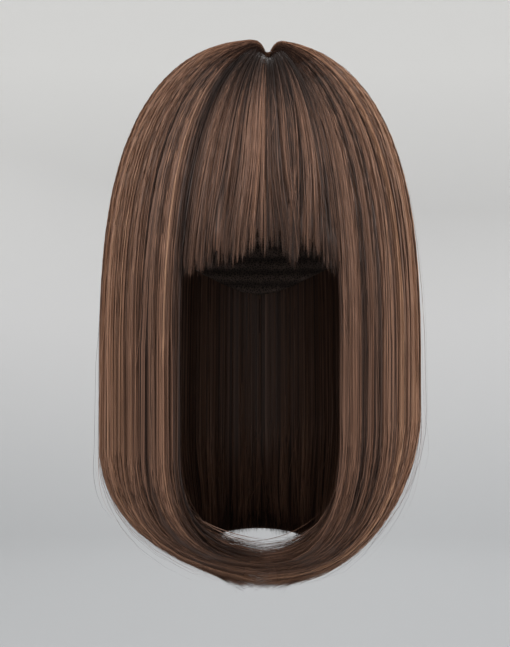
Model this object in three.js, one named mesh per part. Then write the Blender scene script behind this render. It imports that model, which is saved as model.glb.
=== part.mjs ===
// A bob wig with a full fringe. A fitted cap carries seven sections of straight hair: the fringe, a lock
// on each side of the face, a curtain over each ear and a back in two halves. The ends curl in at the hem.
// Millimetres, +Z up, the wearer looks along -Y. The origin is where the top of the head meets the cap.
// Left and right are the wearer's own, so left is +X.
import * as THREE from "three";
import { mergeVertices } from "three/addons/utils/BufferGeometryUtils.js";

const { degToRad, lerp, smoothstep } = THREE.MathUtils;

// Head space: the inside of the cap
const headHalfWidth = 76;
const headFront = 94;
const headBack = 98;
const headWidestDrop = 105; // from the top of the head to its widest level
const capWall = 1.6;

// Volume of hair outside the cap, at the widest level and on top
const sideVolume = 28;
const frontVolume = 16;
const backVolume = 22;
const crownVolume = 12.4;

// Drops, all measured down from the highest hair
const hairDrop = 351;
const widestDrop = 238;
const curlStartDrop = 253;
const curlSkew = 12.5; // the curl starts this much lower on the right than behind, and higher on the left
const fringeCentreDrop = 138;
const fringeCornerDrop = 159;

// Walls of hair
const hairWall = 9;
const fringeWall = 6;
const faceEdgeWall = 5; // where a section ends beside the face
const tipWall = 3;
const thinFrom = 0.55; // share of a section's length from which its wall thins to its tips
const hugUntil = 0.5; // share of a section's length over which its inside leaves the cap

// Parting: a short groove from the swirl at the crown to the roots of the fringe
const partX = 5;
const partFront = -35;
const partBack = 18;
const partHalfGap = 2.5;
const partDepth = 8;
const partShoulder = 22; // from the parting to where the hair stands at its full height
const partSharpness = 4; // a power: the higher, the closer to the parting that the hair turns down into it

// Hem: the ends gather in front of the throat and ring the neck behind it
const neckHalfWidth = 38;
const neckFront = 60;
const neckBack = 60;
const gatherPower = 3.2;
const hemRise = 5; // how much higher the hair hangs on the right, halfway round its curl
const faceCurlPower = 2.7; // of the superellipse that the ends beside the face curl along
const sideCurlPower = 2; // over the ears and behind them it is an ellipse
const sideCurlAzimuth = 80;
const faceRetreat = 12; // how far the hair beside the face falls back from the line of the forehead

// Locks
const lockDepth = 3.2;
const lockStagger = 7; // how far a lock's point hangs below the notch beside it
const fringeStagger = 8;
const ribSharpness = 0.8; // a power: 1 gives ribs round as a sine, less gives flatter ones
const ribFade = 0.4; // share of a section's length over which its ribs rise from smooth roots
const ribEnd = 0.4; // depth left in the ribs at the tips, as a share
const innerRib = 0.5; // depth of the ribs on the inside, as a share of those outside

// Clearances
const sectionGap = 1.1; // between one section and the next
const seatGap = 0.8; // between the corners of the hair's inside and of the cap's outside

// Forms: powers of the superellipses that the hair's outside follows
const domePower = 2.3;
const liftPower = 3.2;
const ovalPower = 2.15;

// Where the sections meet, in degrees round the head from the middle of the face
const faceAzimuth = 27;
const templeAzimuth = 52;
const napeAzimuth = 122;
const backAzimuth = 180;

const sideReach = headHalfWidth + capWall + sideVolume;
const frontReach = headFront + capWall + frontVolume;
const backReach = headBack + capWall + backVolume;
const topZ = capWall + crownVolume;

// The edge of the cap: hairline, temple, ear tab, ear and nape, as angles from the top of the head
const capEdge = [
  { azimuth: 0, polar: 66 },
  { azimuth: 38, polar: 72 },
  { azimuth: 68, polar: 100 },
  { azimuth: 95, polar: 92 },
  { azimuth: 128, polar: 104 },
  { azimuth: 180, polar: 116 },
];

// How low the ends hang round the head, as shares of hairDrop
const hemLine = [
  { azimuth: 0, drop: 0.955 },
  { azimuth: 27, drop: 0.963 },
  { azimuth: 65, drop: 0.995 },
  { azimuth: 90, drop: 1 },
  { azimuth: 130, drop: 0.978 },
  { azimuth: 180, drop: 0.945 },
];

// Hair sections, each from one azimuth to the next, with its number of locks
const sections = [
  { name: "fringe", from: -faceAzimuth, to: faceAzimuth, locks: 9, isFringe: true },
  { name: "face_lock_left", from: faceAzimuth, to: templeAzimuth, locks: 3 },
  { name: "face_lock_right", from: -templeAzimuth, to: -faceAzimuth, locks: 3 },
  { name: "side_curtain_left", from: templeAzimuth, to: napeAzimuth, locks: 6 },
  { name: "side_curtain_right", from: -napeAzimuth, to: -templeAzimuth, locks: 6 },
  { name: "back_curtain_left", from: napeAzimuth, to: backAzimuth, locks: 5 },
  { name: "back_curtain_right", from: -backAzimuth, to: -napeAzimuth, locks: 5 },
];

const columnsPerLock = 4;
const rootShares = [0, 0.04, 0.1]; // rows close to the parting, as shares of a strand's length over the dome
const domeRows = 9;
const curlRows = 7;
const capColumns = 36;
const capRows = 8;

const hairMaterial = new THREE.MeshStandardMaterial({
  color: new THREE.Color("#6a4e40"),
  roughness: 0.42,
  metalness: 0,
});
const capMaterial = new THREE.MeshStandardMaterial({
  color: new THREE.Color("#2e2320"),
  roughness: 0.85,
  metalness: 0,
});

// The value of a table's column at an angle, eased from row to row.
function readTable(rows, column, azimuth) {
  const angle = Math.min(Math.abs(azimuth), rows.at(-1).azimuth);
  const next = Math.max(1, rows.findIndex((row) => row.azimuth >= angle));
  const [low, high] = [rows[next - 1], rows[next]];
  return lerp(low[column], high[column], smoothstep(angle, low.azimuth, high.azimuth));
}

// A point of the head's oval dome, this far outside the cap's inside.
function domePoint(azimuth, polar, outside) {
  const level = Math.sin(degToRad(polar));
  const turn = degToRad(azimuth);
  const reach = Math.cos(turn) > 0 ? headFront : headBack;
  return new THREE.Vector3(
    (headHalfWidth + outside) * level * Math.sin(turn),
    -(reach + outside) * level * Math.cos(turn),
    (headWidestDrop + outside) * Math.cos(degToRad(polar)) - headWidestDrop,
  );
}

// How far out a point lies from the middle of the head, as a share of the cap's outside with its seat gap.
function capShare(point) {
  const reach = (point.y < 0 ? headFront : headBack) + capWall + seatGap;
  const width = headHalfWidth + capWall + seatGap;
  const height = headWidestDrop + capWall + seatGap;
  return Math.hypot(point.x / width, point.y / reach, (point.z + headWidestDrop) / height);
}

// The point where the line from the middle of the head to this point leaves the cap and its seat gap.
function seatBelow(point) {
  const middle = new THREE.Vector3(0, 0, -headWidestDrop);
  return middle.clone().lerp(point, 1 / capShare(point));
}

// Draws a point of the hair's inside onto the cap near the roots, and everywhere keeps it out of the cap.
function seatOnCap(point, share) {
  const seat = seatBelow(point);
  const isInCap = capShare(point) < 1;
  point.lerp(seat, isInCap ? 1 : 1 - smoothstep(share, 0, hugUntil));
}

// How far out a plan position lies, as a share of the hair's widest oval.
function ovalShare(x, y) {
  const reach = y < 0 ? frontReach : backReach;
  return Math.hypot(
    (Math.abs(x) / sideReach) ** (ovalPower / 2),
    (Math.abs(y) / reach) ** (ovalPower / 2),
  ) ** (2 / ovalPower);
}

// The root and the rim of the strand at an azimuth, in plan: from the parting out to the widest oval.
function strandPlan(azimuth) {
  const turn = degToRad(azimuth);
  const outward = new THREE.Vector2(Math.sin(turn), -Math.cos(turn));
  const alongPart = smoothstep(Math.abs(azimuth), faceAzimuth, napeAzimuth);
  const root = new THREE.Vector2(partX, lerp(partFront, partBack, alongPart));
  root.addScaledVector(outward, partHalfGap);
  const rim = outward.clone().divideScalar(ovalShare(outward.x, outward.y));
  return { root, rim };
}

// Distance in plan from the line of the parting.
function partDistance(x, y) {
  return Math.hypot(x - partX, y - THREE.MathUtils.clamp(y, partFront, partBack));
}

// Height of the hair's outside over a plan position: a superellipsoid dome with the parting's groove in it.
function domeHeight(x, y) {
  const share = Math.min(ovalShare(x, y), 1);
  const lift = (1 - share ** domePower) ** (1 / liftPower);
  const dip = Math.max(0, 1 - (partDistance(x, y) - partHalfGap) / partShoulder);
  return topZ - widestDrop * (1 - lift) - partDepth * dip ** partSharpness;
}

// Share of the way from root to rim at which a strand has dropped this far.
function reachAtDrop(azimuth, drop) {
  const { root } = strandPlan(azimuth);
  const rootShare = ovalShare(root.x, root.y);
  const share = (1 - (1 - drop / widestDrop) ** liftPower) ** (1 / domePower);
  return (share - rootShare) / (1 - rootShare);
}

// The part of a strand that lies over the dome, with reach 0 at its root and 1 at the widest level.
function overDome(azimuth, reach) {
  const { root, rim } = strandPlan(azimuth);
  const plan = root.lerp(rim, reach);
  return fallBack(new THREE.Vector3(plan.x, plan.y, domeHeight(plan.x, plan.y)));
}

// Hair beside and below the face falls back a little from the line of the forehead.
function fallBack(point) {
  const fallen = smoothstep(topZ - point.z, fringeCentreDrop, curlStartDrop);
  const facing = Math.max(0, -point.y / frontReach);
  point.y += faceRetreat * fallen * facing ** 2;
  return point;
}

// The part of a strand below the widest level: straight down, then a quarter of a superellipse in to its tip.
function inCurl(azimuth, share) {
  const turn = degToRad(azimuth);
  const start = overDome(azimuth, 1);
  const straight = curlStartDrop - curlSkew * Math.sin(turn) - widestDrop;
  const tipTurn = Math.PI * Math.abs(azimuth / 180) ** gatherPower * Math.sign(azimuth);
  const tipReach = Math.cos(tipTurn) > 0 ? neckFront : neckBack;
  const tip = new THREE.Vector3(
    neckHalfWidth * Math.sin(tipTurn),
    -tipReach * Math.cos(tipTurn),
    topZ - hairDrop * readTable(hemLine, "drop", azimuth),
  );
  const beside = smoothstep(Math.abs(azimuth), faceAzimuth, sideCurlAzimuth);
  const power = 2 / lerp(faceCurlPower, sideCurlPower, beside);
  const bend = (share * Math.PI) / 2;
  const out = Math.max(0, Math.cos(bend)) ** power;
  const rise = hemRise * Math.max(0, -Math.sin(turn)) * Math.sin(Math.PI * share ** 2);
  return new THREE.Vector3(
    lerp(tip.x, start.x, out),
    lerp(tip.y, start.y, out),
    lerp(start.z - straight, tip.z, Math.sin(bend) ** power) + rise,
  );
}

// A point of a strand: along runs from 0 at the root through 1 at the widest level to 2 at the tip.
function strandPoint(azimuth, along) {
  return along <= 1 ? overDome(azimuth, along) : inCurl(azimuth, along - 1);
}

// The outward direction of the hair's surface, from its slopes across and along the strands.
function strandNormal(azimuth, along) {
  const step = 0.01;
  const across = strandPoint(azimuth + 1, along).sub(strandPoint(azimuth - 1, along));
  const ahead = strandPoint(azimuth, Math.min(along + step, 2));
  const down = ahead.sub(strandPoint(azimuth, Math.max(along - step, 0)));
  return down.cross(across).normalize();
}

// Thickness of the hair: full beside the ear, thinner beside the face, and thin at the root and the tip.
function wallAt(section, azimuth, share) {
  const beside = smoothstep(Math.abs(azimuth), faceAzimuth, templeAzimuth);
  const full = section.isFringe ? fringeWall : lerp(faceEdgeWall, hairWall, beside);
  return lerp(full, tipWall, smoothstep(share, thinFrom, 1));
}

// Where the rows of a section lie along its strands, closer together where the hair bends most.
function rowStations(section, azimuth, notch) {
  const shares = [...rootShares];
  for (let row = 1; row <= domeRows; row++) shares.push(easedShare(row / domeRows));
  if (section.isFringe) {
    const corner = (Math.abs(azimuth) / faceAzimuth) ** 2;
    const drop = lerp(fringeCentreDrop, fringeCornerDrop, corner) - fringeStagger * notch;
    const last = reachAtDrop(azimuth, drop);
    return shares.map((share) => last * share);
  }
  const trim = (notch * lockStagger) / (hairDrop - widestDrop);
  for (let row = 0; row < curlRows; row++) shares.push(1 + ((row + 1) / curlRows) * (1 - trim));
  return shares;
}

// Rows crowd where the dome turns down into the fall.
function easedShare(share) {
  return Math.sin((share * Math.PI) / 2) ** (2 / domePower);
}

// A section of hair as a closed wall: locks are rounded ribs on its outside, with a pointed end each.
function hairSection(section) {
  const columns = section.locks * columnsPerLock;
  const middle = (section.from + section.to) / 2;
  const outer = [];
  const inner = [];
  for (let column = 0; column <= columns; column++) {
    const spread = lerp(section.from, section.to, column / columns);
    const rib = Math.abs(Math.sin((Math.PI * column) / columnsPerLock)) ** ribSharpness;
    const notch = 1 - rib;
    const stations = rowStations(section, spread, notch);
    stations.forEach((along, row) => {
      const start = strandPoint(section.from, along);
      const narrowed = 1 - sectionGap / start.distanceTo(strandPoint(section.to, along));
      const azimuth = lerp(middle, spread, narrowed);
      const share = row / (stations.length - 1);
      const surface = strandPoint(azimuth, along);
      const normal = strandNormal(azimuth, along);
      const groove = lockDepth * notch * smoothstep(share, 0, ribFade) * lerp(1, ribEnd, share);
      const outside = surface.clone().addScaledVector(normal, -groove);
      const wall = wallAt(section, azimuth, share) + innerRib * groove;
      const inside = surface.clone().addScaledVector(normal, -wall);
      if (surface.z > -headWidestDrop) seatOnCap(inside, share);
      (outer[row] ??= []).push(outside);
      (inner[row] ??= []).push(inside);
    });
  }
  return closedWall(outer, inner, false);
}

// The cap: a thin dome with its edge cut to the hairline, closed round the head.
function capWallGeometry() {
  const outer = [];
  const inner = [];
  for (let row = 0; row <= capRows; row++) {
    outer.push([]);
    inner.push([]);
    for (let column = 0; column <= capColumns; column++) {
      const azimuth = lerp(-180, 180, column / capColumns);
      const polar = readTable(capEdge, "polar", azimuth) * (row / capRows);
      outer[row].push(domePoint(azimuth, polar, capWall));
      inner[row].push(domePoint(azimuth, polar, 0));
    }
  }
  return closedWall(outer, inner, true);
}

// Joins two grids of points into one closed wall. A wall that closes round the head has no side edges and
// no top edge, because its first row is a single point.
function closedWall(outer, inner, closesRound) {
  const rows = outer.length;
  const columns = outer[0].length;
  const points = [...outer.flat(), ...inner.flat()];
  const at = (isInner, row, column) => (isInner ? rows * columns : 0) + row * columns + column;
  const triangles = [];
  const quad = (a, b, c, d) => triangles.push(a, b, c, a, c, d);
  for (let row = 0; row + 1 < rows; row++) {
    for (let column = 0; column + 1 < columns; column++) {
      quad(at(false, row, column), at(false, row + 1, column),
        at(false, row + 1, column + 1), at(false, row, column + 1));
      quad(at(true, row, column), at(true, row, column + 1),
        at(true, row + 1, column + 1), at(true, row + 1, column));
    }
    if (closesRound) continue;
    quad(at(false, row, 0), at(true, row, 0), at(true, row + 1, 0), at(false, row + 1, 0));
    quad(at(false, row, columns - 1), at(false, row + 1, columns - 1),
      at(true, row + 1, columns - 1), at(true, row, columns - 1));
  }
  for (let column = 0; column + 1 < columns; column++) {
    quad(at(false, rows - 1, column), at(true, rows - 1, column),
      at(true, rows - 1, column + 1), at(false, rows - 1, column + 1));
    if (!closesRound) {
      quad(at(false, 0, column), at(false, 0, column + 1), at(true, 0, column + 1), at(true, 0, column));
    }
  }
  const geometry = new THREE.BufferGeometry();
  geometry.setAttribute("position", new THREE.Float32BufferAttribute(points.flatMap((p) => p.toArray()), 3));
  geometry.setIndex(triangles);
  return withoutSlivers(geometry);
}

// Merges points that coincide and drops the triangles that this leaves with no area.
function withoutSlivers(geometry) {
  const merged = mergeVertices(geometry, 1e-3);
  const index = merged.index.array;
  const kept = [];
  for (let i = 0; i < index.length; i += 3) {
    const [a, b, c] = index.subarray(i, i + 3);
    if (a !== b && b !== c && c !== a) kept.push(a, b, c);
  }
  merged.setIndex(kept);
  const flat = merged.toNonIndexed();
  flat.computeVertexNormals();
  return flat;
}

function namedMesh(name, geometry, material) {
  const mesh = new THREE.Mesh(geometry, material);
  mesh.name = name;
  return mesh;
}

const wig = new THREE.Group();
wig.add(namedMesh("cap", capWallGeometry(), capMaterial));
for (const section of sections) {
  wig.add(namedMesh(section.name, hairSection(section), hairMaterial));
}

export default wig;
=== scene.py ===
import math
from types import SimpleNamespace

import bpy
import numpy as np
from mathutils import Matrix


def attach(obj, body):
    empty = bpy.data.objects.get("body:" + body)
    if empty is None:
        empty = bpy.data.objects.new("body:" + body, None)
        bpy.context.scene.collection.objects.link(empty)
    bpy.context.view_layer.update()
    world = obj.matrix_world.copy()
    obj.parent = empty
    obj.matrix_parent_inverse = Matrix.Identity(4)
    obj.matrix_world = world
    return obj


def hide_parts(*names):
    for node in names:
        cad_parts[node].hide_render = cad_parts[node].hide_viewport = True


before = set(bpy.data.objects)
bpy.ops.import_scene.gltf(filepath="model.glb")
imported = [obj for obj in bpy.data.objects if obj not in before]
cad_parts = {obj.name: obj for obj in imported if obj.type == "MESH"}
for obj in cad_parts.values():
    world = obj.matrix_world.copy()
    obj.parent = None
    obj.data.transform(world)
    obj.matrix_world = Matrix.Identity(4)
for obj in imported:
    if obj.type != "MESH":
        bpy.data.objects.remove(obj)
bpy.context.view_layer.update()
MM = 0.001


# The cap. The foundation that the hair is sewn to: a thin dark stretch net with a bound front edge.
# Its wefts run round it in rows, and it shows through the face opening and from below.
net_cell = 1.6 * MM
net_thread = (0.16, 0.115, 0.095, 1)
net_hole = (0.040, 0.029, 0.024, 1)
thread_end, hole_start = 0.05, 0.16  # distances from the border of a cell, in cells
weft_pitch = 9 * MM
weft_relief = 0.8 * MM
weft_shade = 0.55  # how much darker the net is between two wefts
wave_band = 0.314  # length of one band of the Wave texture at scale 1


def new_material(name):
    """An empty material, with its nodes, its links and its shader."""
    material = bpy.data.materials.new(name)
    material.use_nodes = True
    nodes, links = material.node_tree.nodes, material.node_tree.links
    return material, nodes, links, nodes["Principled BSDF"]


def ramp(nodes, links, value, stops):
    """The colour for a value, straight between stops of position and colour that are given in order."""
    node = nodes.new("ShaderNodeValToRGB")
    elements = node.color_ramp.elements
    elements[0].position, elements[0].color = stops[0]
    elements[1].position, elements[1].color = stops[-1]
    for position, color in stops[1:-1]:
        elements.new(position).color = color
    links.new(value, node.inputs["Fac"])
    return node.outputs["Color"]


def times(nodes, links, first, second, share=1.0):
    """The first colour, mixed by share with its product with the second."""
    node = nodes.new("ShaderNodeMix")
    node.data_type = "RGBA"
    node.blend_type = "MULTIPLY"
    node.inputs["Factor"].default_value = share
    links.new(first, node.inputs["A"])
    links.new(second, node.inputs["B"])
    return node.outputs["Result"]


def cap_net():
    """Dark thread over darker holes, in cells from a Voronoi pattern, and a raised weft every weft_pitch."""
    material, nodes, links, shader = new_material("cap_net")
    shader.inputs["Roughness"].default_value = 0.85
    shader.inputs["Specular IOR Level"].default_value = 0.25
    place = nodes.new("ShaderNodeTexCoord")
    cells = nodes.new("ShaderNodeTexVoronoi")
    cells.feature = "DISTANCE_TO_EDGE"
    cells.inputs["Scale"].default_value = 1 / net_cell
    links.new(place.outputs["Object"], cells.inputs["Vector"])
    net = ramp(nodes, links, cells.outputs["Distance"], ((thread_end, net_thread), (hole_start, net_hole)))
    wefts = nodes.new("ShaderNodeTexWave")
    wefts.bands_direction = "Z"
    wefts.wave_profile = "SIN"
    wefts.inputs["Scale"].default_value = wave_band / weft_pitch
    wefts.inputs["Distortion"].default_value = 1.2
    wefts.inputs["Detail"].default_value = 1.0
    links.new(place.outputs["Object"], wefts.inputs["Vector"])
    shaded = times(nodes, links, net, wefts.outputs["Color"], weft_shade)
    links.new(shaded, shader.inputs["Base Color"])
    relief = nodes.new("ShaderNodeBump")
    relief.inputs["Strength"].default_value = 0.6
    relief.inputs["Distance"].default_value = weft_relief
    links.new(wefts.outputs["Fac"], relief.inputs["Height"])
    links.new(relief.outputs["Normal"], shader.inputs["Normal"])
    return material


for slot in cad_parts["cap"].material_slots:
    slot.material = cap_net()


# The hair. Straight synthetic fibre, combed from a short parting behind the fringe out over the crown,
# and down to ends that were set under. It is sewn on in sections, from the nape up to the fringe.
# Azimuths are in degrees from the middle of the face, positive to the wearer's left.
face_azimuth, temple_azimuth, nape_azimuth = 27, 52, 122

# The head, and how far the hair stands off it
head_half_width = 76 * MM
head_front = 94 * MM
head_back = 98 * MM
head_widest_drop = 105 * MM  # below the top of the head
cap_wall = 1.6 * MM
seat_gap = 0.8 * MM
side_volume = 28 * MM
front_volume = 16 * MM
back_volume = 22 * MM
crown_volume = 12.4 * MM
top_z = cap_wall + crown_volume
side_reach = head_half_width + cap_wall + side_volume

# The dome and the fall, with drops measured from the top of the hair
widest_drop = 238 * MM
face_retreat = 12 * MM
oval_power = 2.15
dome_power = 2.3
lift_power = 3.2

# The parting, a groove that the strands fall away from
part_x = 5 * MM
part_front = -35 * MM
part_back = 18 * MM
part_half_gap = 1.2 * MM
part_depth = 8.5 * MM
part_shoulder = 13 * MM
part_sharpness = 4
part_run_out = 0.2

# The fringe
fringe_centre_drop = 138 * MM
fringe_cut = np.array([  # azimuth and drop in millimetres of the line that the fringe is cut to
    (-27, 161), (-17, 154), (-12, 151), (-6, 147), (-1, 142.5), (4, 139), (7, 142),
    (10.5, 151), (13.5, 143), (16, 143), (19, 149), (24, 157), (27, 161),
])
fringe_slant = np.array([  # azimuth of a strand and how many degrees its tip is combed sideways
    (-27, -1), (-16, -2.5), (-3, -2.5), (3, 1.5), (9, 2.5), (12, -2.5), (20, -1.5), (27, 0),
])

# The ends, curled in to an oval at the neck
curl_start_drop = 253 * MM
curl_skew = 12.5 * MM  # how much lower the curl starts on the right, and higher on the left
face_curl_power, side_curl_power, side_curl_azimuth = 2.7, 2, 80
neck_half_width = 38 * MM
neck_front = 60 * MM
neck_back = 60 * MM
gather_power = 3.2
hair_drop = 351 * MM
hem_turns = np.array([0, 27, 65, 90, 130, 180])
hem_shares = np.array([0.955, 0.963, 0.995, 1, 0.978, 0.945])  # of hair_drop, at the azimuths hem_turns
hem_rise = 5 * MM


def ease(value, low, high):
    """Smooth step: 0 below low, 1 above high, and a cubic between them."""
    share = np.clip((value - low) / (high - low), 0, 1)
    return share * share * (3 - 2 * share)


def mix(low, high, share):
    """Straight mix of two values: low at share 0, high at share 1."""
    return low + (high - low) * share


def oval_share(x, y):
    """How far out a plan position is, as a share of the hair's widest oval, a superellipse of oval_power."""
    reach = np.where(y < 0, head_front + front_volume, head_back + back_volume) + cap_wall
    across, ahead = np.abs(x) / side_reach, np.abs(y) / reach
    return (across**oval_power + ahead**oval_power) ** (1 / oval_power)


def over_dome(azimuth, reach):
    """Strand from the parting at reach 0 to the widest oval at reach 1. Its height is a superellipsoid dome,
    less the parting's groove, a power of the distance left to part_shoulder, in which the way forward counts
    only part_run_out. Low in front the strand falls back."""
    turn = np.radians(azimuth)
    out_x, out_y = np.sin(turn), -np.cos(turn)
    root_x = part_x + part_half_gap * out_x
    along_part = ease(np.abs(azimuth), face_azimuth, nape_azimuth)
    root_y = mix(part_front, part_back, along_part) + part_half_gap * out_y
    rim = 1 / oval_share(out_x, out_y)
    x, y = mix(root_x, out_x * rim, reach), mix(root_y, out_y * rim, reach)
    share = np.clip(oval_share(x, y), 0, 1)
    drop = widest_drop * (1 - (1 - share**dome_power) ** (1 / lift_power))
    past_end = np.maximum(0, y - part_back) + part_run_out * np.maximum(0, part_front - y)
    from_part = np.hypot(x - part_x, past_end) - part_half_gap
    drop = drop + part_depth * np.clip(1 - np.maximum(from_part, 0) / part_shoulder, 0, 1) ** part_sharpness
    facing = np.maximum(0, -y / (head_front + cap_wall + front_volume))
    y = y + face_retreat * ease(drop, fringe_centre_drop, curl_start_drop) * facing**2
    return np.stack([x, y, top_z - drop], axis=-1)


def in_curl(azimuth, share, drift, rise):
    """Strand below the widest oval: a quarter of a superellipse from the end of the straight fall in to its
    tip, raised by rise, on the neck's oval. The tip's azimuth is gathered to the front by a power and moved
    on by drift degrees. The superellipse is fuller beside the face, and lifted halfway on the right."""
    turn = np.radians(azimuth)
    start = over_dome(azimuth, np.ones_like(share))
    straight = curl_start_drop - curl_skew * np.sin(turn) - widest_drop
    tip_turn = np.pi * np.abs(azimuth / 180) ** gather_power * np.sign(azimuth) + np.radians(drift)
    row = np.clip(np.searchsorted(hem_turns, np.abs(azimuth)), 1, len(hem_turns) - 1)
    past_turn = ease(np.abs(azimuth), hem_turns[row - 1], hem_turns[row])
    hem = mix(hem_shares[row - 1], hem_shares[row], past_turn)
    tip_x = neck_half_width * np.sin(tip_turn)
    tip_y = -np.where(np.cos(tip_turn) > 0, neck_front, neck_back) * np.cos(tip_turn)
    beside = ease(np.abs(azimuth), face_azimuth, side_curl_azimuth)
    power = 2 / mix(face_curl_power, side_curl_power, beside)
    out = np.maximum(0, np.cos(share * np.pi / 2)) ** power
    x, y = mix(tip_x, start[..., 0], out), mix(tip_y, start[..., 1], out)
    tip_z = top_z - hair_drop * hem + rise
    z = mix(start[..., 2] - straight, tip_z, np.sin(share * np.pi / 2) ** power)
    z = z + hem_rise * np.maximum(0, -np.sin(turn)) * np.sin(np.pi * share**2)
    return np.stack([x, y, z], axis=-1)


def fall(azimuth, along, drift=0.0, rise=0.0):
    """A point of the hair's outside: along is 0 at the root, 1 at the widest oval and 2 at the tip."""
    low = in_curl(azimuth, np.maximum(along - 1, 0), drift, rise)
    return np.where((along <= 1)[..., None], over_dome(azimuth, np.minimum(along, 1)), low)


def outward(azimuth, along, *tip):
    """Unit normal of the hair's outside: the cross product of its slopes down and across the strands, each
    taken over a small step to both sides."""
    aside, step = 0.5, 0.01
    across = fall(azimuth + aside, along, *tip) - fall(azimuth - aside, along, *tip)
    down = fall(azimuth, np.minimum(along + step, 2), *tip) - fall(azimuth, along - step, *tip)
    normal = np.cross(down, across)
    return normal / np.linalg.norm(normal, axis=-1, keepdims=True)


def stations_of(azimuth, first, last, count):
    """Points along the strand at azimuth, closer together where it bends: their spacing goes half by length
    and half by how far the strand turns. Returns each point's value of along and its share of the length."""
    fine = 600
    along = np.linspace(first, last, fine)
    steps = np.diff(fall(np.full(fine, float(azimuth)), along), axis=0)
    sizes = np.linalg.norm(steps, axis=1)
    heading = steps / sizes[:, None]
    turns = np.arccos(np.clip((heading[1:] * heading[:-1]).sum(axis=1), -1, 1))
    length = np.concatenate([[0], np.cumsum(sizes)]) / sizes.sum()
    turned = np.concatenate([[0, 0], np.cumsum(turns)]) / turns.sum()
    even = np.linspace(0, 2, count)
    return np.interp(even, length + turned, along), np.interp(even, length + turned, length)


def fringe_end(azimuth, longer=0.0):
    """Where along a strand the fringe is cut: at the drop of the cut line, and longer by this much."""
    drop = np.interp(azimuth, fringe_cut[:, 0], fringe_cut[:, 1] * MM) + longer
    share = (1 - (1 - drop / widest_drop) ** lift_power) ** (1 / dome_power)
    turn = np.radians(azimuth)
    root_y = part_front - part_half_gap * np.cos(turn)
    root = oval_share(part_x + part_half_gap * np.sin(turn), root_y)
    return (share - root) / (1 - root)


# The fibre, brown and half glossy, but matt at the roots, which are packed too close to shine
fibre_shades = (
    # place of a shade from the darkest strand to the palest, and its colour
    (0.0, (0.010, 0.006, 0.005, 1)),
    (0.25, (0.050, 0.027, 0.019, 1)),
    (0.50, (0.140, 0.074, 0.049, 1)),
    (0.75, (0.245, 0.132, 0.085, 1)),
    (1.0, (0.420, 0.245, 0.150, 1)),
)
length_tints_and_painted_shade = (
    # share of the length from the root, and the tint that multiplies the shade there
    (0.0, (0.95, 0.90, 0.84, 1)),
    (0.035, (0.95, 0.95, 0.95, 1)),
    (0.65, (1.05, 1.04, 1.03, 1)),
    # darker at the tips: painted shade
    (1.0, (0.70, 0.67, 0.65, 1)),
)
mottle_stretch = (160, 7, 1)  # bumps of noise over the range of shades and over the length
mottle_noise, mottle_tints = (0.3, 0.7), (0.78, 1.16)  # a range of the noise, and its tints
fibre_roughness = (0.36, 0.52)
matt_root, extra_roughness = 0.14, 0.5  # share of the length, and what the very root has more
root_share = 0.11  # share of the length that is of the root's fibre


def mapped(nodes, links, value, take, give):
    """A value carried straight from the range take to the range give, and kept inside it."""
    node = nodes.new("ShaderNodeMapRange")
    for name, end in zip(("From Min", "From Max", "To Min", "To Max"), (*take, *give)):
        node.inputs[name].default_value = end
    links.new(value, node.inputs["Value"])
    return node.outputs["Result"]


def hair_fibre(name, shine):
    """Brown fibre. The UV map's u is the strand's shade, from dark to light, which carries painted shade and
    sheen, and v runs root to tip. The colour is the shade for u, times the tint for v, darker at the tips as
    painted shade, times a mottle of noise drawn out along v. The same noise sets the roughness, which rises
    towards the root."""
    material, nodes, links, shader = new_material(name)
    shader.inputs["Specular IOR Level"].default_value = shine
    place = nodes.new("ShaderNodeUVMap")
    place.uv_map = "OFBake"
    parts = nodes.new("ShaderNodeSeparateXYZ")
    links.new(place.outputs["UV"], parts.inputs["Vector"])
    stretch = nodes.new("ShaderNodeMapping")
    stretch.inputs["Scale"].default_value = mottle_stretch
    links.new(place.outputs["UV"], stretch.inputs["Vector"])
    mottle = nodes.new("ShaderNodeTexNoise")
    mottle.inputs["Scale"].default_value = 1.0
    mottle.inputs["Detail"].default_value = 2.0
    links.new(stretch.outputs["Vector"], mottle.inputs["Vector"])
    noise = mottle.outputs["Fac"]
    shade = ramp(nodes, links, parts.outputs["X"], fibre_shades)
    tint_and_painted_shade = ramp(nodes, links, parts.outputs["Y"], length_tints_and_painted_shade)
    mottled = mapped(nodes, links, noise, mottle_noise, mottle_tints)
    color = times(nodes, links, times(nodes, links, shade, tint_and_painted_shade), mottled)
    links.new(color, shader.inputs["Base Color"])
    rough = nodes.new("ShaderNodeMath")
    rough.operation = "ADD"
    rough.use_clamp = True
    gloss = mapped(nodes, links, noise, (0, 1), fibre_roughness)
    matt = mapped(nodes, links, parts.outputs["Y"], (0, matt_root), (extra_roughness, 0))
    links.new(gloss, rough.inputs[0])
    links.new(matt, rough.inputs[1])
    links.new(rough.outputs["Value"], shader.inputs["Roughness"])
    return material


length_fibre = hair_fibre("hair_fibre", 0.15)
root_fibre = hair_fibre("hair_root", 0.0)

# The hair under the loose strands, built in place of the imported sections, which are hidden
face_wall, side_wall, fringe_wall, tip_wall = 5 * MM, 9 * MM, 6 * MM, 3 * MM
backing_sink, backing_rib = 2.4 * MM, 1.2 * MM
backing_columns, backing_rows = 110, 20
backing_ends = (1.96, 1.9)  # how far along it reaches at the sides and at the back
backing_end_turns = (100, 140)  # and the azimuths from the one to the other
backing_short = (-16 * MM, -3 * MM)  # how much of the fringe's length it leaves to the strands
backing_deepest = 0.6  # share of the wall that its outside may sink by
# the backing is toned darker than the loose strands: painted shade deep in the hair
backing_shade, hem_shade = 0.27, 0.2
hug_end, thinning_start = 0.5, 0.55  # shares of the length


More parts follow.
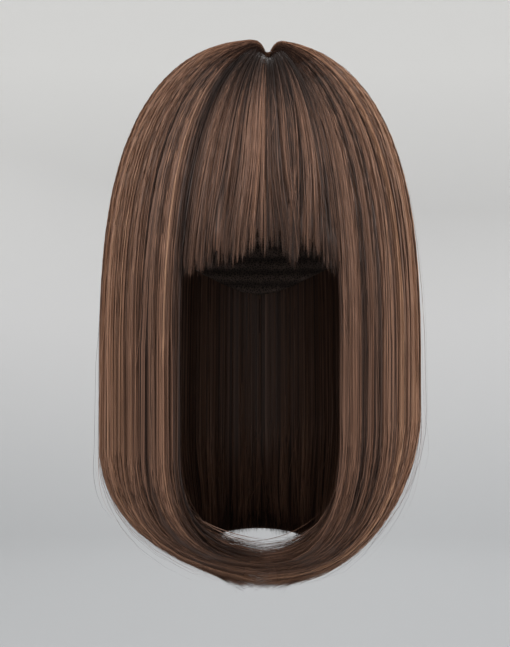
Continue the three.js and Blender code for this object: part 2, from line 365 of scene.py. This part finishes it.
def seated_on_cap(inside, share):
    """Draws points of the hair's inside onto the cap near the roots, and everywhere keeps them out of it:
    along the line from the middle of the head, to where the cap's ellipsoid is."""
    middle = np.array([0, 0, -head_widest_drop])
    clear = cap_wall + seat_gap
    reach = np.where(inside[..., 1] < 0, head_front, head_back) + clear
    size = np.stack([np.full_like(reach, head_half_width + clear), reach,
                     np.full_like(reach, head_widest_drop + clear)], axis=-1)
    out = np.linalg.norm((inside - middle) / size, axis=-1)
    seat = middle + (inside - middle) / out[..., None]
    hug = np.where(out < 1, 1, 1 - ease(share, 0, hug_end)) * (inside[..., 2] > -head_widest_drop)
    return mix(inside, seat, hug[..., None])


def wall_at(azimuth, share, is_fringe):
    """Thickness of the hair: full over the ear, thinner beside the face, in the fringe and at the tips."""
    beside = ease(np.abs(azimuth), face_azimuth, temple_azimuth)
    full = np.full_like(azimuth, fringe_wall) if is_fringe else mix(face_wall, side_wall, beside)
    return mix(full, tip_wall, ease(share, thinning_start, 1))


def backing(low, high, is_fringe, rng):
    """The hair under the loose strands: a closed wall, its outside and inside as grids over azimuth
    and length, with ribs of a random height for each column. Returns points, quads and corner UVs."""
    middle = (low + high) / 2
    curtain_end = mix(*backing_ends, ease(abs(middle), *backing_end_turns))
    end = fringe_end(middle) if is_fringe else curtain_end
    shape, even = stations_of(middle, 0, end, backing_rows)
    azimuth, share = np.meshgrid(np.linspace(low, high, backing_columns), even)
    ragged = rng.uniform(*backing_short, backing_columns)
    along = shape[:, None] * (fringe_end(azimuth, ragged) / end if is_fringe else 1)
    surface, normal = fall(azimuth, along), outward(azimuth, along)
    wall = wall_at(azimuth, share, is_fringe)
    ribs = rng.uniform(0, backing_rib, backing_columns)[None, :] * ease(share, 0, 0.3)
    outside = surface - normal * np.minimum(backing_sink + ribs, wall * backing_deepest)[..., None]
    inside = seated_on_cap(surface - normal * wall[..., None], share)
    points = np.concatenate([outside, inside[:, ::-1]], axis=1)
    around = 2 * backing_columns
    index = np.arange(backing_rows * around).reshape(backing_rows, around)
    right = np.roll(index, -1, axis=1)
    walls = np.stack([index[:-1], index[1:], right[1:], right[:-1]], axis=-1).reshape(-1, 4)
    shade = np.clip(rng.normal(backing_shade, 0.1, around), 0.05, 0.6)
    wall_uv = np.empty((backing_rows - 1, around, 4, 2))
    wall_uv[..., 0] = shade[None, :, None]
    wall_uv[..., 1] = np.stack([even[:-1], even[1:], even[1:], even[:-1]], axis=-1)[:, None, :]
    pair = np.arange(backing_columns - 1)
    far = around - 1 - pair
    root_edge = np.stack([pair, pair + 1, far - 1, far], axis=-1)
    hem_edge = np.stack([pair, far, far - 1, pair + 1], axis=-1) + (backing_rows - 1) * around
    edge_uv = np.full((2 * len(pair), 4, 2), hem_shade)
    corner_uv = np.concatenate([wall_uv.reshape(-1, 4, 2), edge_uv])
    return points.reshape(-1, 3), np.concatenate([walls, root_edge, hem_edge]), corner_uv


# The loose strands, which gather in locks and in finer tufts
strand_overlap = 0.4  # degrees past the border of its section that a strand may start
point_overlap = 0.5  # and that any point of it may lie
lock_spacing, tuft_spacing, fringe_tuft_spacing = 4.5, 1.1, 0.7
lining_share, stray_share = 0.12, 0.018
root_along = -0.01  # a strand starts just behind the line that its section's roots are on
fringe_gather = 0.45  # what the fringe gathers by, where the rest gathers by 1
tuft_pulls, lock_pulls = (0.3, 0.85), (0.05, 0.4)  # shares of the way to the middle, at the tip

# The tips: how unevenly they are cut
fringe_short, fringe_uneven, fringe_shortest = 3.2 * MM, 2.8 * MM, 24 * MM
lock_uneven, tuft_uneven = 0.8 * MM, 1.0 * MM
curtain_uneven, curtain_shortest = 0.05, 0.25  # shares of the curl
crossing, crossing_ends = 19, (60, 100)  # degrees past the middle in front, and the azimuths where it fades
tip_rise, tip_rise_ends = 5 * MM, (35, 65)
lining_along = 0.86  # where the strands that line the inside start

# How the strands stand off the fall, and how wide and how turned they are
tuft_swell, lock_swell = 1.1 * MM, 1.3 * MM
skin_depth, spread_depth, packed_depth = 0.3 * MM, 1.9 * MM, 2.6 * MM
root_sink, tip_lift = 2.2 * MM, 0.8 * MM
stray_reach, stray_powers = (1 * MM, 13 * MM), (0.6, 7)
lining_lift = (-0.4 * MM, 1.2 * MM)
stray_width, least_width, most_width = 0.15 * MM, 0.24 * MM, 0.66 * MM
root_width, tip_width = 0.4, 0.15  # shares of the full width
strand_tilt, tip_tilt, root_tilt = 0.7, 0.5, 0.9  # in radians

# The shades, from 0, the darkest, to 1
fringe_tone, curtain_tone, strand_unevenness = 0.455, 0.57, 0.08
fringe_unevenness, curtain_unevenness = 0.055, 0.075
# painted shade: darker deep in the hair and in the gaps between tufts and between locks
deep_painted_shade, tuft_gap_painted_shade, lock_gap_painted_shade = 0.26, 0.12, 0.16
# a painted sheen on the sides beside the face, and painted light at the thin tips
beside_face_painted_sheen, tip_painted_light = 0.16, 0.06
odd_share, odd_tones = 0.08, (0.1, 0.3)
root_dark, front_root_dark = 0.04, 0.42
fringe_length, curtain_length = 170 * MM, 400 * MM  # of a strand, roughly
shadow_lines = (
    # azimuth, half width and darkness of the deeper gaps between locks
    (33, 3.0, 0.26),
    (-43, 1.8, 0.24),
    (-25, 2.5, 0.24),
)


def clump(lane, centres):
    """Each strand's nearest lock: its number, the middle it is drawn to, and how far off the strand is."""
    borders = (centres[1:] + centres[:-1]) / 2
    number = np.searchsorted(borders, lane)
    spacing = np.gradient(centres)[number]
    return number, centres[number], np.clip(2 * (lane - centres[number]) / spacing, -1, 1)


def sown(low, high, is_fringe, count, rng):
    """Strands at random lanes between two azimuths, sorted into locks and tufts at random middles. One in
    eight lines the inside of a curtain, a few stray, and each has a random depth in the hair."""
    lane = np.sort(rng.uniform(low - strand_overlap, high + strand_overlap, count))
    wide = high - low
    locks = np.sort(rng.uniform(low, high, max(3, round(wide / lock_spacing))))
    spacing = fringe_tuft_spacing if is_fringe else tuft_spacing
    tufts = np.sort(rng.uniform(low, high, max(6, round(wide / spacing))))
    lock, lock_middle, off_lock = clump(lane, locks)
    tuft, tuft_middle, off_tuft = clump(lane, tufts)
    is_lining = (rng.random(count) < lining_share) & (not is_fringe)
    is_stray = (rng.random(count) < stray_share) & ~is_lining
    depth = rng.random(count) ** 1.2
    return SimpleNamespace(
        low=low, high=high, is_fringe=is_fringe, count=count, lane=lane, depth=depth,
        lock=lock, lock_middle=lock_middle, off_lock=off_lock, lock_count=len(locks),
        tuft=tuft, tuft_middle=tuft_middle, off_tuft=off_tuft, tuft_count=len(tufts),
        is_lining=is_lining, is_stray=is_stray,
    )


def by_clump(hair, lock_spread, tuft_spread, rng):
    """A random value for each strand: one that its lock has in common, and one that its tuft has."""
    of_lock = rng.normal(0, lock_spread, hair.lock_count)[hair.lock]
    return of_lock + rng.normal(0, tuft_spread, hair.tuft_count)[hair.tuft]


def spaced(hair, last, stations, rng):
    """Stations of the middle strand, moved along by up to half a step for each strand, so that no two
    strands bend at the same points. Returns each point's value of along and its share of the length."""
    shape, share = stations_of((hair.low + hair.high) / 2, root_along, last, stations)
    step = np.arange(stations)
    moved = rng.uniform(-0.5, 0.5, hair.count)[:, None] * ((step > 0) & (step < stations - 1))
    return np.interp(step + moved, step, shape), np.interp(step + moved, step, share)


def combed(hair, share, rng):
    """Azimuth of each point. A strand is drawn from its lane towards the middle of its tuft and then of its
    lock, the more the lower, and sways by a sine along its length. Returns the sine's phase as well."""
    gather = fringe_gather if hair.is_fringe else 1
    tuft_pull = gather * rng.uniform(*tuft_pulls, hair.tuft_count)[hair.tuft][:, None]
    tuft_pull = tuft_pull * ease(share, 0.05, 0.9)
    lock_pull = gather * rng.uniform(*lock_pulls, hair.lock_count)[hair.lock][:, None]
    lock_pull = lock_pull * ease(share, 0.15, 1)
    azimuth = hair.lane[:, None] + (hair.tuft_middle - hair.lane)[:, None] * tuft_pull
    azimuth = azimuth + (hair.lock_middle[:, None] - azimuth) * lock_pull
    swing = rng.normal(0, 0.3, hair.count)
    swing = swing + np.where(rng.random(hair.count) < 0.05, rng.normal(0, 1.8, hair.count), 0)
    phase, pace = rng.uniform(0, 2 * np.pi, hair.count), rng.uniform(0.4, 1.4, hair.count)
    sway = np.sin(2 * np.pi * pace[:, None] * share + phase[:, None]) - np.sin(phase)[:, None]
    azimuth = azimuth + swing[:, None] * sway * ease(share, 0, 0.5)
    return np.clip(azimuth, hair.low - point_overlap, hair.high + point_overlap), phase[:, None]


def cut_fringe(hair, azimuth, shape, share, last, rng):
    """The fringe's strands with their tips combed sideways by fringe_slant, and cut at random round a line
    a little above fringe_cut, a few of them much shorter. Returns azimuth and along for each point."""
    slant = np.interp(hair.lane, fringe_slant[:, 0], fringe_slant[:, 1])
    slant = slant + rng.normal(0, 1, hair.tuft_count)[hair.tuft]
    azimuth = azimuth + slant[:, None] * ease(share, 0.6, 1.05)
    azimuth = np.clip(azimuth, hair.low - point_overlap, hair.high + point_overlap)
    longer = by_clump(hair, lock_uneven, tuft_uneven, rng) - fringe_short
    longer = longer + rng.normal(0, fringe_uneven, hair.count)
    longer = longer - fringe_shortest * rng.random(hair.count) ** 5
    end = fringe_end(np.clip(azimuth[:, -1], hair.low, hair.high), longer)
    return azimuth, root_along + (end - root_along)[:, None] * (shape - root_along) / (last - root_along)


def cut_curtain(hair, shape, share, rng):
    """A curtain's strands, cut at random up to a quarter of the curl short, and strays anywhere in it. Near
    the face the tips cross the middle by some degrees and end higher. Returns along for each point, and
    each tip's drift in degrees and its rise."""
    from_front = np.abs(hair.lane)
    cut = 1 - np.abs(rng.normal(0, curtain_uneven, hair.count))
    cut = cut - curtain_shortest * rng.random(hair.count) ** 7
    cut = np.where(hair.is_stray, rng.uniform(0.15, 1, hair.count), cut)
    along = np.where(shape > 1, 1 + (shape - 1) * cut[:, None], shape)
    over = (1 - ease(from_front, *crossing_ends)) * np.abs(rng.normal(0, crossing, hair.count))
    rise = (1 - ease(from_front, *tip_rise_ends)) * np.abs(rng.normal(0, tip_rise, hair.count))
    drift = rng.normal(0, 3, hair.count) - over * np.sign(hair.lane)
    inner = lining_along + (along[:, -1:] - lining_along) * share
    return np.where(hair.is_lining[:, None], inner, along), (drift[:, None], rise[:, None])


def lifted(hair, azimuth, share, phase, rng):
    """How far each point stands off the fall. A strand lies at its own depth, higher in the middle of its
    tuft and lock, and sunk at the root. A stray leaves the hair by a power of its length, in a wave, and
    a strand of the lining lies at the inside of the wall."""
    spread = ease(share, 0.02, 0.3)
    swell = tuft_swell * (1 - hair.off_tuft**2) + lock_swell * (1 - hair.off_lock**2)
    sunk = skin_depth + spread_depth * spread + packed_depth * hair.depth[:, None]
    lift = swell[:, None] * spread - sunk - root_sink * (1 - ease(share, 0, 0.008))
    lift = lift + rng.normal(0, tip_lift, hair.count)[:, None] * ease(share, 0.8, 1)
    power = rng.uniform(*stray_powers, hair.count)[:, None]
    away = rng.uniform(*stray_reach, hair.count)[:, None] * ease(share, 0.1, 1) ** power
    lift = np.where(hair.is_stray[:, None], away * (0.65 + 0.35 * np.sin(phase + 5 * share)), lift)
    off_wall = rng.uniform(*lining_lift, hair.count)[:, None]
    lining = off_wall - wall_at(azimuth, share, hair.is_fringe)
    return np.where(hair.is_lining[:, None], lining, lift)


def ribbon_sides(hair, share, down, normal, rng):
    """Half of each ribbon's width, as a vector across it. It is turned about the strand at random, most at
    the root, and the width narrows to both ends."""
    tilt = rng.normal(0, strand_tilt, hair.count)[:, None]
    tilt = tilt + rng.normal(0, tip_tilt, hair.count)[:, None] * share
    tilt = tilt + rng.normal(0, root_tilt, hair.count)[:, None] * (1 - ease(share, 0, 0.2))
    across = np.cross(down, normal) * np.cos(tilt)[..., None] + normal * np.sin(tilt)[..., None]
    full = np.where(hair.is_stray, stray_width, rng.uniform(least_width, most_width, hair.count))
    thinning = ease(share, 0.7 if hair.is_fringe else 0.8, 1)
    width = full[:, None] * mix(root_width, 1, ease(share, 0, 0.35)) * mix(1, tip_width, thinning)
    return across * (width / 2)[..., None]


def shade_of(hair, share, rng):
    """Shade of each point from 0, dark, to 1. It is random by strand, lock and tuft, with painted shade deep
    down, between tufts and locks and in the shadow lines, and a painted sheen beside the face. One strand in
    twelve is much paler and one much darker. In front, the roots lie in the parting's painted shadow. The
    lining is painted lighter, as painted light inside the hair, and the tips paler, painted light through
    the thin ends."""
    from_front = np.abs(hair.lane)
    unevenness = fringe_unevenness if hair.is_fringe else curtain_unevenness
    tone = fringe_tone if hair.is_fringe else curtain_tone
    tone = tone + rng.normal(0, strand_unevenness, hair.count) - deep_painted_shade * hair.depth
    tone = tone + by_clump(hair, unevenness, unevenness, rng)
    # a painted sheen on the sides, beside the face
    tone = tone + beside_face_painted_sheen * ease(from_front, 42, 52) * (1 - ease(from_front, 75, 120))
    tone = tone - tuft_gap_painted_shade * hair.off_tuft**2 - lock_gap_painted_shade * np.abs(hair.off_lock) ** 3
    for sign in (1, -1):
        is_odd = rng.random(hair.count) < odd_share
        tone = tone + sign * np.where(is_odd, rng.uniform(*odd_tones, hair.count), 0)
    for middle_turn, half_width, dark in shadow_lines:
        tone = tone - dark * np.exp(-(((hair.lane - middle_turn) / half_width) ** 2))
    # the lining's shades are drawn towards mid, mostly lighter: painted light inside the hair, where little
    # light reaches
    tone = np.where(hair.is_lining, 0.5 + 0.5 * (tone - 0.4), tone)
    in_front = (1 - ease(from_front, 25, 62))[:, None]
    from_root = share * (fringe_length if hair.is_fringe else curtain_length)
    root_shadow = (root_dark + front_root_dark * in_front) * (1 - ease(from_root, 12 * MM, 90 * MM))
    root_shadow = root_shadow * mix(0.15, 1, ease(from_root, 3 * MM, 16 * MM))
    # the tips are made paler: painted light showing through the thin ends
    return np.clip(tone[:, None] - root_shadow + tip_painted_light * ease(share, 0.85, 1), 0.03, 0.97)


def strands(low, high, is_fringe, count, stations, rng):
    """Loose strands as flat ribbons. Each follows the fall of the hair along its own azimuths, stands off it
    by its own lift, and has two points at each of its stations. Returns points, quads and corner UVs."""
    hair = sown(low, high, is_fringe, count, rng)
    last = fringe_end((low + high) / 2) if is_fringe else 2.0
    shape, share = spaced(hair, last, stations, rng)
    azimuth, phase = combed(hair, share, rng)
    if is_fringe:
        azimuth, along = cut_fringe(hair, azimuth, shape, share, last, rng)
        tip = (0.0, 0.0)
    else:
        along, tip = cut_curtain(hair, shape, share, rng)
    surface, normal = fall(azimuth, along, *tip), outward(azimuth, along, *tip)
    down = np.gradient(surface, axis=1)
    down /= np.linalg.norm(down, axis=-1, keepdims=True)
    centre = surface + normal * lifted(hair, azimuth, share, phase, rng)[..., None]
    side = ribbon_sides(hair, share, down, normal, rng)
    points = np.stack([centre - side, centre + side], axis=2)
    tone = shade_of(hair, share, rng)

    corner = np.arange(count * stations).reshape(count, stations) * 2
    here, below = corner[:, :-1], corner[:, 1:]
    quads = np.stack([here, below, below + 1, here + 1], axis=-1).reshape(-1, 4)
    uv = np.empty((count, stations - 1, 4, 2))
    uv[..., 0] = np.stack([tone[:, :-1], tone[:, 1:], tone[:, 1:], tone[:, :-1]], axis=-1)
    uv[..., 1] = np.stack([share[:, :-1], share[:, 1:], share[:, 1:], share[:, :-1]], axis=-1)
    return points.reshape(-1, 3), quads, uv.reshape(-1, 4, 2)


def hair_mesh(name, groups):
    """One mesh from several groups of points, quads and corner UVs. A face whose corners lie on average in
    the first root_share of the length is of the root's fibre."""
    offsets = np.cumsum([0] + [len(points) for points, _, _ in groups[:-1]])
    points = np.concatenate([group[0] for group in groups])
    quads = np.concatenate([group[1] + offset for group, offset in zip(groups, offsets)])
    uv = np.concatenate([group[2] for group in groups])  # a face, its corners, then u and v
    mesh = bpy.data.meshes.new(name)
    mesh.vertices.add(len(points))
    mesh.vertices.foreach_set("co", points.ravel().astype(np.float32))
    mesh.loops.add(quads.size)
    mesh.loops.foreach_set("vertex_index", quads.ravel().astype(np.int32))
    mesh.polygons.add(len(quads))
    mesh.polygons.foreach_set("loop_start", np.arange(0, quads.size, 4, dtype=np.int32))
    mesh.update(calc_edges=True)
    mesh.uv_layers.new(name="OFBake").data.foreach_set("uv", uv.ravel().astype(np.float32))
    mesh.shade_smooth()
    for fibre in (length_fibre, root_fibre):
        mesh.materials.append(fibre)
    is_root = uv[..., 1].mean(axis=1) < root_share
    mesh.polygons.foreach_set("material_index", is_root.astype(np.int32))
    piece = bpy.data.objects.new(name, mesh)
    bpy.context.scene.collection.objects.link(piece)
    return piece


hair_sections = (
    # name, azimuths from and to, strands, points on each strand
    ("back_curtain_left", nape_azimuth, 180, 2300, 25),
    ("back_curtain_right", -180, -nape_azimuth, 2300, 25),
    ("side_curtain_left", temple_azimuth, nape_azimuth, 3400, 25),
    ("side_curtain_right", -nape_azimuth, -temple_azimuth, 3400, 25),
    ("face_lock_left", face_azimuth, temple_azimuth, 2200, 25),
    ("face_lock_right", -temple_azimuth, -face_azimuth, 2200, 25),
    ("fringe", -face_azimuth, face_azimuth, 4800, 17),
)
first_seed = 40
backing_overlap = 0.2  # degrees past the borders of a section
for number, (name, low, high, count, stations) in enumerate(hair_sections):
    rng = np.random.default_rng(first_seed + number)
    is_fringe = name == "fringe"
    groups = [
        backing(low - backing_overlap, high + backing_overlap, is_fringe, rng),
        strands(low, high, is_fringe, count, stations, rng),
    ]
    piece = hair_mesh(name + "_strands", groups)
    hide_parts(name)
    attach(piece, "root")


# The room. A pale floor that curves up into a low wall all round, its grey darker low down as painted shade,
# soft light from both sides, from above, in front and behind, and a level camera in front of the wig at the
# height of its middle.
floor_z, wall_top_z = -0.60, 1.5
wall_reach, sweep_radius = 3.6, 1.2
shade_low, shade_high = -0.60, 0.50  # heights between which the greys run
greys = (
    # share of the way up, and the paint's grey there, darker low down as painted shade
    (0.0, (0.29, 0.296, 0.304, 1)),
    (0.40, (0.48, 0.48, 0.483, 1)),
    (1.0, (0.68, 0.678, 0.668, 1)),
)
wig_middle = (0, 0, -0.16)
room_lights = (
    # name, place, side of the square and power in watts
    ("key_light", (-1.8, -1.7, 1.3), 1.7, 70),
    ("fill_light", (1.95, -1.7, 0.8), 1.8, 64),
    ("top_light", (0.0, -1.1, 2.1), 1.6, 20),
    ("front_light", (0.0, -2.9, -0.15), 1.0, 7),
    ("back_light", (0.3, 2.6, 1.5), 1.6, 50),
)
air_color, air_strength = (1.0, 0.99, 0.97, 1), 0.55
camera_distance, camera_x, camera_z = 1.2, -0.0033, -0.172
frame_height = 0.427  # of what the picture shows at the wig's axis
sweep_steps, sweep_sides, inner_reach = 24, 96, 0.01


def sweep():
    """Floor, a quarter circle up and a wall: a profile of reach and height turned about the wig's axis."""
    bend = np.linspace(0, np.pi / 2, sweep_steps)
    flat = wall_reach - sweep_radius
    reach = np.concatenate([[inner_reach, flat / 2], flat + sweep_radius * np.sin(bend), [wall_reach]])
    height = floor_z + sweep_radius * (1 - np.cos(bend))
    height = np.concatenate([[floor_z, floor_z], height, [wall_top_z]])
    turn = np.linspace(0, 2 * np.pi, sweep_sides + 1)[:-1]
    points = np.stack([reach[:, None] * np.cos(turn), reach[:, None] * np.sin(turn),
                       np.broadcast_to(height[:, None], (len(reach), len(turn)))], axis=-1).reshape(-1, 3)
    index = np.arange(len(points)).reshape(len(reach), len(turn))
    after = np.roll(index, -1, axis=1)
    quads = np.stack([index[:-1], after[:-1], after[1:], index[1:]], axis=-1).reshape(-1, 4)
    mesh = bpy.data.meshes.new("floor")
    mesh.from_pydata(points.tolist(), [], [index[0].tolist()] + quads.tolist())
    mesh.shade_smooth()
    paint, nodes, links, shader = new_material("floor_paint")
    shader.inputs["Roughness"].default_value = 0.9
    place = nodes.new("ShaderNodeTexCoord")
    up = nodes.new("ShaderNodeSeparateXYZ")
    links.new(place.outputs["Object"], up.inputs["Vector"])
    # the paint grows darker towards the floor: painted shade
    share = mapped(nodes, links, up.outputs["Z"], (shade_low, shade_high), (0, 1))
    links.new(ramp(nodes, links, share, greys), shader.inputs["Base Color"])
    mesh.materials.append(paint)
    floor = bpy.data.objects.new("floor", mesh)
    bpy.context.scene.collection.objects.link(floor)
    return floor


def softbox(name, place, size, power):
    """A square area light at place, turned to face the middle of the wig."""
    light = bpy.data.lights.new(name, "AREA")
    light.size = size
    light.energy = power
    lamp = bpy.data.objects.new(name, light)
    lamp.location = place
    facing = [a - p for a, p in zip(wig_middle, place)]
    pitch = math.atan2(math.hypot(facing[0], facing[1]), -facing[2])
    lamp.rotation_euler = (pitch, 0, math.atan2(-facing[0], facing[1]))
    bpy.context.scene.collection.objects.link(lamp)


sweep()
for name, place, size, power in room_lights:
    softbox(name, place, size, power)
air = bpy.data.worlds.new("room_light")
air.use_nodes = True
air.node_tree.nodes["Background"].inputs["Color"].default_value = air_color
air.node_tree.nodes["Background"].inputs["Strength"].default_value = air_strength
bpy.context.scene.world = air
bpy.context.scene.view_settings.view_transform = "Standard"

lens = bpy.data.cameras.new("camera")
lens.sensor_fit = "VERTICAL"
lens.sensor_height = 36
lens.lens = lens.sensor_height * camera_distance / frame_height
camera = bpy.data.objects.new("camera", lens)
camera.location = (camera_x, -camera_distance, camera_z)
camera.rotation_euler = (math.pi / 2, 0, 0)
bpy.context.scene.collection.objects.link(camera)
bpy.context.scene.camera = camera
